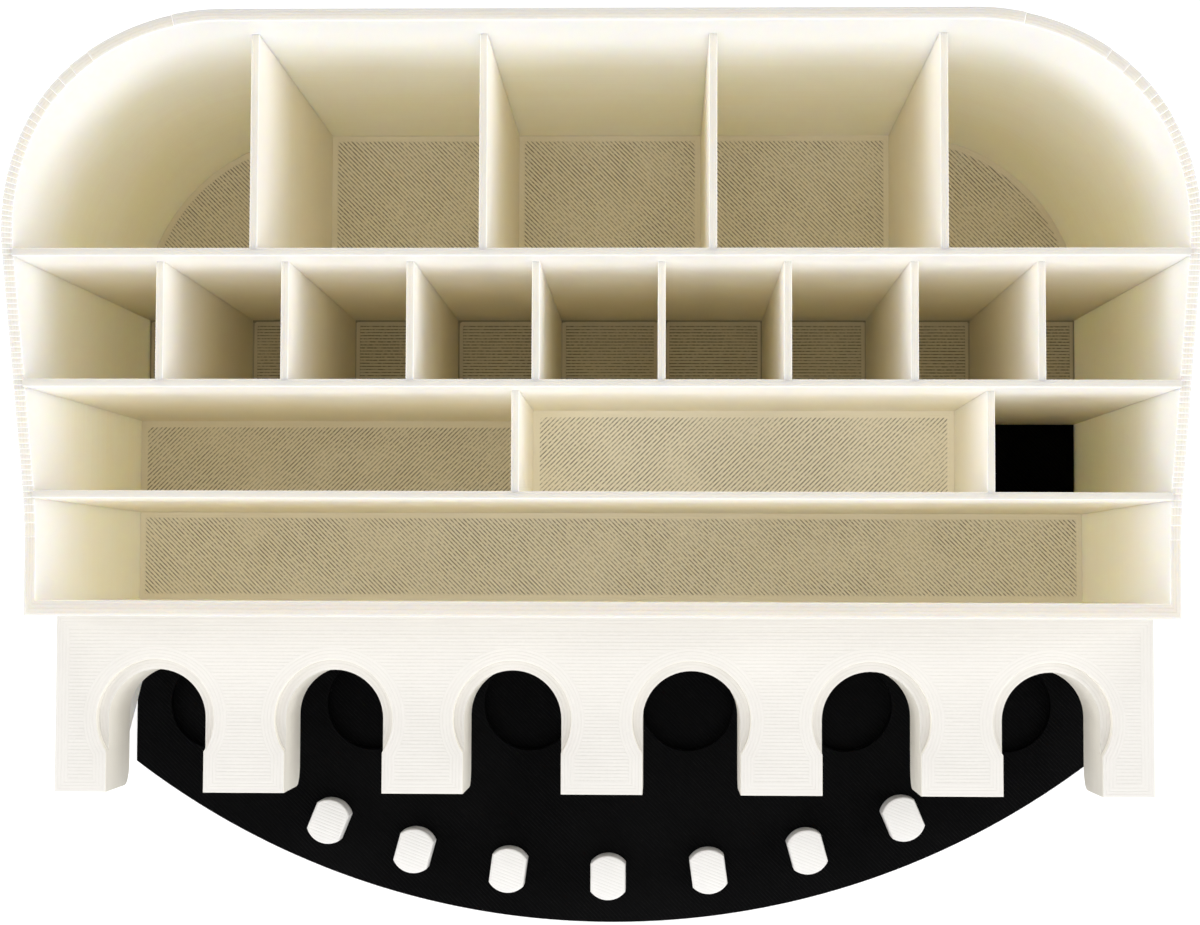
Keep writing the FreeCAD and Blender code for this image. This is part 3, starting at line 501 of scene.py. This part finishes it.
def make_shell():
    """Leaning wall swept along a U: point = a (w(z) - R) + (R - d) n, where n is the path's outward
    normal, a says how far along the rear the point is, d is its depth into the wall and w(z) is
    the leaning half width. The front wall closes the U: there x = f (w(z) - d), and d runs back
    from the front face."""
    y, top = rim_stations()
    keep = (y > BIN_FRONT + FRONT_WALL + 0.01) & (y < REAR - 1e-3)
    y, top = y[keep], np.minimum(top[keep], RIM_TOP)
    corner_y = REAR - CORNER
    rise = np.clip((y - corner_y) / CORNER, 0, 1)
    side_n = np.stack([np.sqrt(1 - rise ** 2), rise], axis=1)
    side_c = np.minimum(y, corner_y)
    rear_a = np.linspace(-1, 1, REAR_STEPS)
    along = np.concatenate([np.full(len(y), -1.0), rear_a, np.full(len(y), 1.0)])
    n_x = np.concatenate([-side_n[:, 0], np.zeros(REAR_STEPS), side_n[::-1, 0]])
    n_y = np.concatenate([side_n[:, 1], np.ones(REAR_STEPS), side_n[::-1, 1]])
    centre_y = np.concatenate([side_c, np.full(REAR_STEPS, corner_y), side_c[::-1]])
    height = np.concatenate([top, np.full(REAR_STEPS, RIM_TOP), top[::-1]])

    into, down = quarter(EDGE)
    depth = np.concatenate([[0, 0, 0], into, WALL - into[::-1], [WALL, WALL, WALL]])
    drop = np.concatenate([[np.inf, HALF_DOWN, HOLD], down, down[::-1], [HOLD, HALF_DOWN, np.inf]])
    z = np.where(np.isinf(drop), BASE_TOP, height[:, None] - drop)
    x = along[:, None] * (half_width(z) - CORNER) + (CORNER - depth) * n_x[:, None]
    around = np.stack([x, centre_y[:, None] + (CORNER - depth) * n_y[:, None] + 0 * z, z], axis=-1)

    across = np.linspace(1, -1, FRONT_STEPS)[:, None]
    z = np.where(np.isinf(drop), BASE_TOP, RIM_LEVEL - drop) + 0 * across
    x = across * (half_width(z) - depth)
    before = np.stack([x, BIN_FRONT + depth * FRONT_WALL / WALL + 0 * x, z], axis=-1)
    points = np.concatenate([around, before])
    below = np.concatenate([height, np.full(len(before), RIM_LEVEL)])[:, None] - points[..., 2]
    skin = Skin()
    skin.grid(points, depth, below, ring=True, loop=True)
    skin.piece("bin_shell", shell_plastic, "bin_plastic",
               "rear_shell", "side_wall_left", "side_wall_right", "front_wall")


PANEL_BITE = 0.1            # how far a wall across the bin is let into the side walls
DIVIDER_BITE = EDGE - 0.01  # how far a divider is let into the walls it meets


def slab_section(near, far, low, high):
    """An upright slab's section with a rounded top, from the near foot over to the far foot."""
    into, down = quarter(EDGE)
    across = np.concatenate([[near, near], near + into, far - into[::-1], [far, far]])
    z = np.concatenate([[low, high - HOLD], high - down, high - down[::-1], [high - HOLD, low]])
    return across, z


def make_slab(node, points, across, below):
    """One upright wall from its section carried along, closed at both ends."""
    skin = Skin()
    skin.grid(points, across, below, ring=True)
    skin.cap(points[0], across, below)
    skin.cap(points[-1], across, below)
    skin.piece(node, wall_plastic, "bin_plastic", node)


def make_panel(node):
    """An upright wall across the bin: its section is a slab with a rounded top, carried along x
    out to the leaning side walls, x = f (w(z) - wall + bite)."""
    low, high = span(node)
    y, z = slab_section(low[1], high[1], low[2], high[2])
    x = np.linspace(-1, 1, 41)[:, None] * (half_width(z) - WALL + PANEL_BITE)
    make_slab(node, np.stack([x, y + 0 * x, z + 0 * x], axis=-1), y - low[1], high[2] - z)


def make_divider(node):
    """A thin upright wall: a slab section with a rounded top, carried along y and let into the
    walls it meets."""
    low, high = span(node)
    x, z = slab_section(low[0], high[0], low[2], high[2])
    y = np.linspace(low[1] - DIVIDER_BITE, high[1] + DIVIDER_BITE, 9)[:, None]
    make_slab(node, np.stack([x + 0 * y, y + 0 * x, z + 0 * y], axis=-1), x - low[0], high[2] - z)


FLOOR_GRID = 0.9            # widest spacing of the points across a floor


def make_floor(node, material, splits=(), low_x=None, high_x=None):
    """A level slab between walls: x runs wall to wall, y from the row's front to its back or to
    the rounded rear corner. The lane attribute is the distance to the nearest wall, splits being
    the middles of the dividers on the way."""
    low, high = span(node)
    z = high[2]
    inner = half_width(z) - WALL
    x0 = -inner if low_x is None else low_x
    x1 = inner if high_x is None else high_x
    x = np.linspace(x0, x1, int((x1 - x0) / FLOOR_GRID) + 2)
    y0, y1 = low[1], high[1]
    bend = np.maximum(np.abs(x) - (half_width(z) - CORNER), 0)
    reach = np.minimum(y1, REAR - CORNER + np.sqrt(np.maximum((CORNER - WALL) ** 2 - bend ** 2, 0)))
    reach = np.maximum(reach, y0)
    v = np.linspace(0, 1, int((y1 - y0) / FLOOR_GRID) + 2)[:, None]
    y = y0 + v * (reach - y0)
    grid_x = x + 0 * v
    faces = [middle + side * DIVIDER / 2 for middle in splits for side in (-1, 1)]
    walls_x = np.array([x0, x1, *faces])
    gap = np.min(np.abs(grid_x[..., None] - walls_x), axis=-1)
    gap = np.minimum(gap, np.minimum(y - y0, y1 - y))
    radial = (CORNER - WALL) - np.hypot(bend + 0 * v, np.maximum(y - (REAR - CORNER), 0))
    gap = np.where((bend > 0) & (y > REAR - CORNER), np.minimum(gap, radial), gap)
    gap = np.maximum(gap, 0)
    top = np.stack([grid_x, y, np.full_like(y, z)], axis=-1)
    under = top.copy()
    under[..., 2] = low[2]
    skin = Skin()
    skin.grid(top, lane=gap)
    skin.grid(under, lane=gap)
    for edge in (np.s_[0], np.s_[-1], np.s_[:, 0], np.s_[:, -1]):
        skin.grid(np.stack([top[edge], under[edge]]))
    skin.piece(node, material, "bin_plastic", node)


# ---------------------------------------------------------------- the tool rack
def comb(d, front, seats):
    """The rack's plan as one closed loop, d inside its outline, with its front edge at y = front.

    Each slot is two straight walls and a half circle; with seats, the loop follows the wider
    circle of the bottle seat instead, joining the walls where the circle crosses them.
    """
    cusp = math.acos(SLOT_HALF / SEAT_RADIUS)
    turns = np.concatenate([np.linspace(-cusp, 0, 7)[:-1], np.linspace(0, math.pi, 29),
                            np.linspace(math.pi, math.pi + cusp, 7)[1:]])
    if seats:
        reach = SEAT_RADIUS + d
        x, y = reach * np.cos(turns), reach * np.sin(turns)
        edge = math.sqrt(reach ** 2 - (SLOT_HALF + d) ** 2)
        x[[0, -1]] = SLOT_HALF + d, -(SLOT_HALF + d)
        y[[0, -1]] = -edge
    else:
        reach = SLOT_HALF + d
        x, y = reach * np.cos(turns), reach * np.sin(turns)
        straight = np.sin(turns) < 0
        x = np.where(straight, np.sign(np.cos(turns)) * reach, x)
        y = np.where(straight, SEAT_RADIUS * np.sin(turns), y)
    x = np.concatenate([[SLOT_HALF + d], x, [-(SLOT_HALF + d)]])[::-1]
    y = np.concatenate([[front + d - SLOT_Y], y, [front + d - SLOT_Y]])[::-1]
    slots = np.stack([(SLOT_CENTRES[:, None] + x).ravel(), np.tile(y + SLOT_Y, SLOT_COUNT)], axis=1)
    side, back = RACK_HIGH[0] - d, RACK_HIGH[1] - d
    ends = [[side, front + d], [side, back], [-side, back], [-side, front + d]]
    return np.concatenate([slots, ends])


def make_rack():
    """The comb-shaped bar: one plan loop lofted from its underside to its top, with the lower
    front edge rounded, a ledge where each seat is sunk and a small round on the upper edge."""
    bottom, top, front = RACK_LOW[2], RACK_HIGH[2], RACK_LOW[1]
    ledge = top - SEAT_DEPTH
    rings = [raised(comb(0, front + back, False), bottom + up)
             for up, back in zip(*quarter(RACK_ROUND, 8))]
    rings += [raised(comb(0, front, False), z) for z in (bottom + RACK_ROUND + HOLD, ledge)]
    rings += [raised(comb(0, front, True), z) for z in (ledge, top - HOLD)]
    rings += [raised(comb(into, front, True), top - down) for into, down in zip(*quarter(EDGE))]
    loft("tool_rack", rings, rack_plastic, "bin_plastic")


def make_cheek(node, side):
    """The leaning side plate under a rack end: its outline in (y, z), with the front foot cut off
    at a slant, carried through the wall from x = w(z) to x = w(z) - wall."""
    low, high = span(node)
    outline = np.array([[BIN_FRONT, BASE_TOP], [BIN_FRONT, high[2]], [low[1], high[2]],
                        [low[1], BASE_TOP + CHEEK_CUT], [low[1] + CHEEK_CUT, BASE_TOP]])
    small = inset(outline, EDGE)
    rings = []
    for loop, depth in ((small, 0.0), (outline, EDGE), (outline, WALL - EDGE), (small, WALL)):
        y, z = loop.T
        rings.append(np.column_stack([side * (half_width(z) - depth), y, z]))
    loft(node, rings, wall_plastic, "bin_plastic")


# ---------------------------------------------------------------- the base plate and its pegs
def base_outline():
    """Rounded rear corners, straight sides, and a front arc about the middle of the rear edge."""
    half_turn = math.asin(FOOT_HALF / FRONT_ARC)
    sweep = np.linspace(-half_turn, half_turn, 81)
    arc = np.stack([FRONT_ARC * np.sin(sweep), REAR - FRONT_ARC * np.cos(sweep)], axis=1)
    turn = np.linspace(0, math.pi / 2, 31)
    centre = [FOOT_HALF - CORNER, REAR - CORNER]
    right = centre + CORNER * np.stack([np.cos(turn), np.sin(turn)], axis=1)
    return np.concatenate([arc, right, right[::-1] * [-1, 1]])


def peg_outline(grow=0.0):
    """A circle cut by two parallel flats."""
    radius, flat = PEG_RADIUS + grow, PEG_FLAT + grow
    reach = math.acos(flat / radius)
    turn = np.linspace(reach, math.pi - reach, 12)
    upper = np.stack([radius * np.cos(turn), radius * np.sin(turn)], axis=1)
    return np.concatenate([upper, -upper])


def ring_place(loop, angle):
    """A loop moved to its peg's place on the front ring and turned to face the rear middle."""
    sine, cosine = math.sin(math.radians(angle)), math.cos(math.radians(angle))
    return loop @ [[cosine, sine], [-sine, cosine]] + [PEG_RING * sine, REAR - PEG_RING * cosine]


def add_cup(skin, rings):
    """An open cup let into a top face: its loops from the mouth down, closed by a flat floor."""
    skin.grid(np.stack(rings), ring=True)
    skin.cap(rings[-1])


def make_base():
    """The outline lofted through rounded edges, and below its top one cup for each recess and
    each peg socket; the top face fills what is left between the loops."""
    outline = base_outline()
    into, down = quarter(EDGE)
    loops = [inset(outline, step) for step in into]
    rings = [raised(loop, BASE_LOW[2] + step) for loop, step in zip(loops[::-1], down[::-1])]
    rings += [raised(loop, BASE_TOP - step) for loop, step in zip(loops, down)]
    skin = Skin()
    skin.grid(np.stack(rings), ring=True)
    skin.cap(rings[0])
    for x in SLOT_CENTRES:
        mouth = [raised([x, SLOT_Y] + circle(64) * (RECESS_RADIUS + out), BASE_TOP - step)
                 for step, out in zip(into, down)]
        floor = raised([x, SLOT_Y] + circle(64) * RECESS_RADIUS, BASE_TOP - RECESS_DEPTH)
        add_cup(skin, mouth + [floor])
    for angle in PEG_ANGLES:
        loop = ring_place(peg_outline(PEG_CLEARANCE), angle)
        add_cup(skin, [raised(loop, BASE_TOP), raised(loop, BASE_TOP - RECESS_DEPTH)])
    skin.piece("base_plate", base_plastic, "base_plastic", "base_plate", fill=BASE_TOP)


def make_peg(number, angle):
    """A peg: the flatted circle lofted up from its socket, eased at its top edge."""
    loop = peg_outline()
    rings = [raised(ring_place(loop, angle), BASE_TOP - RECESS_DEPTH)]
    rings += [raised(ring_place(inset(loop, into), angle), PEG_TOP - down)
              for into, down in zip(*quarter(PEG_EASE))]
    loft(f"peg_{number}", rings, peg_plastic, "peg_plastic")


make_shell()
for panel in ("cross_wall_front", "cross_wall_middle", "cross_wall_rear"):
    make_panel(panel)
dividers = sorted(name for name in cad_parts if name.startswith("divider_"))
for divider in dividers:
    make_divider(divider)


def middles(row):
    """Middle x of each divider in a row."""
    in_row = [name for name in dividers if name.startswith(f"divider_{row}_")]
    return [np.mean(span(name), axis=0)[0] for name in in_row]


make_floor("floor_rear_row", floor_slant, middles("rear"))
make_floor("floor_second_row", floor_level, middles("second"))
make_floor("floor_third_row", floor_counter, high_x=span("floor_third_row")[1][0])
raised_low, raised_high = span("raised_floor")
make_floor("raised_floor", floor_counter, low_x=raised_low[0], high_x=raised_high[0])
make_floor("floor_front_row", floor_slant)
make_rack()
make_cheek("rack_cheek_left", -1)
make_cheek("rack_cheek_right", 1)
make_base()
for number, angle in enumerate(PEG_ANGLES, 1):
    make_peg(number, angle)


# ---------------------------------------------------------------- studio, in metres
GROUND_HALF = 3.0           # half the floor's width
GROUND_Z = -0.1 * MM        # just under the part, so that no two faces share a plane
FADE_FROM, FADE_TO = 0.35, 1.0      # where the floor fades into white, from the middle
CAMERA_FILL, WORLD_FILL = 1.0, 0.50     # how bright the surroundings look, and how they light
WHITE = (1.0, 1.0, 1.0, 1.0)
AIM = Vector((0.0, 0.0, 0.1))       # the middle of the part, where every lamp points


def make_ground():
    """A wide pale floor under the part. Seen directly it reads as white and keeps the shadow, it
    fades into the white surroundings further off, and from underneath it can be seen through.
    It gives back less light than it seems to, so that the part's sides keep their tone."""
    mesh = bpy.data.meshes.new("studio_floor")
    mesh.from_pydata([(x * GROUND_HALF, y * GROUND_HALF, GROUND_Z)
                      for x, y in ((-1, -1), (1, -1), (1, 1), (-1, 1))], [], [[0, 1, 2, 3]])
    ground = bpy.data.objects.new("studio_floor", mesh)
    bpy.context.scene.collection.objects.link(ground)
    g = Graph("studio_floor_paint")
    rays = g.node("ShaderNodeLightPath")
    place = g.node("ShaderNodeTexCoord").outputs["Object"]
    away = g.node("ShaderNodeVectorMath", {0: place}, operation="LENGTH").outputs["Value"]
    matt = g.node("ShaderNodeBsdfDiffuse", {"Color": (0.86, 0.86, 0.86, 1)})
    glow = g.node("ShaderNodeEmission", {"Color": WHITE, "Strength": 0.3})
    lift = g.node("ShaderNodeAddShader", {0: matt.outputs[0], 1: glow.outputs[0]})
    white = g.node("ShaderNodeEmission", {"Color": WHITE, "Strength": 1.0})
    fade = g.remap(away, FADE_FROM, FADE_TO)
    seen = g.node("ShaderNodeMixShader", {0: fade, 1: lift.outputs[0], 2: white.outputs[0]})
    given = g.node("ShaderNodeBsdfDiffuse", {"Color": (0.5, 0.5, 0.5, 1)})
    by_camera = rays.outputs["Is Camera Ray"]
    upper = g.node("ShaderNodeMixShader", {0: by_camera, 1: given.outputs[0], 2: seen.outputs[0]})
    under = g.math("MULTIPLY", by_camera, g.node("ShaderNodeNewGeometry").outputs["Backfacing"])
    clear_below = g.node("ShaderNodeBsdfTransparent")
    both = g.node("ShaderNodeMixShader", {0: under, 1: upper.outputs[0], 2: clear_below.outputs[0]})
    g.node("ShaderNodeOutputMaterial", {"Surface": both.outputs[0]})
    mesh.materials.append(g.material)


def area_light(name, place, size, power):
    """A large soft lamp aimed at the middle of the part."""
    lamp = bpy.data.lights.new(name, "AREA")
    lamp.shape, lamp.size, lamp.size_y, lamp.energy = "RECTANGLE", *size, power
    made = bpy.data.objects.new(name, lamp)
    made.location = place
    made.rotation_mode = "QUATERNION"
    made.rotation_quaternion = (AIM - made.location).to_track_quat("-Z", "Y")
    bpy.context.scene.collection.objects.link(made)


def make_world():
    """Even surroundings: white where the camera sees them, and dimmer as light on the part."""
    world = bpy.data.worlds.new("studio")
    bpy.context.scene.world = world
    world.use_nodes = True
    tree = world.node_tree
    tree.nodes.clear()
    ray = tree.nodes.new("ShaderNodeLightPath")
    mix = tree.nodes.new("ShaderNodeMixShader")
    out = tree.nodes.new("ShaderNodeOutputWorld")
    tree.links.new(ray.outputs["Is Camera Ray"], mix.inputs[0])
    for socket, strength in ((mix.inputs[1], WORLD_FILL), (mix.inputs[2], CAMERA_FILL)):
        shade = tree.nodes.new("ShaderNodeBackground")
        shade.inputs[0].default_value, shade.inputs[1].default_value = WHITE, strength
        tree.links.new(shade.outputs[0], socket)
    tree.links.new(mix.outputs[0], out.inputs[0])


make_ground()
make_world()
area_light("top_softbox", (0.0, -0.75, 1.9), (0.9, 0.9), 4.6)
area_light("left_softbox", (-1.25, -0.2, 0.85), (1.1, 0.9), 9.7)
area_light("right_softbox", (1.25, -0.2, 0.85), (1.1, 0.9), 11.4)
area_light("rear_softbox", (0.0, 1.4, 0.75), (1.2, 0.8), 3.5)
area_light("front_softbox", (0.0, -1.4, 0.85), (1.2, 0.8), 10.2)

FRAME_WIDTH = 36.0          # the camera's sensor
LENS = 2360.677 / 1200      # focal length, in frame widths
camera = bpy.data.objects.new("camera", bpy.data.cameras.new("camera"))
camera.data.sensor_fit, camera.data.sensor_width = "HORIZONTAL", FRAME_WIDTH
camera.data.lens = LENS * FRAME_WIDTH
camera.data.clip_start, camera.data.clip_end = 0.05, 20.0
camera.matrix_world = (Matrix.Translation((0.015859, -0.020411, 0.73576))
                       @ Matrix.Rotation(0.05406, 4, "X") @ Matrix.Rotation(0.02579, 4, "Y")
                       @ Matrix.Rotation(0.00187, 4, "Z"))
bpy.context.scene.collection.objects.link(camera)
bpy.context.scene.camera = camera
bpy.context.scene.view_settings.view_transform = "Standard"
# Light has to be followed a long way down into the pale bays.
bpy.context.scene.cycles.diffuse_bounces = 16
bpy.context.scene.cycles.max_bounces = 20
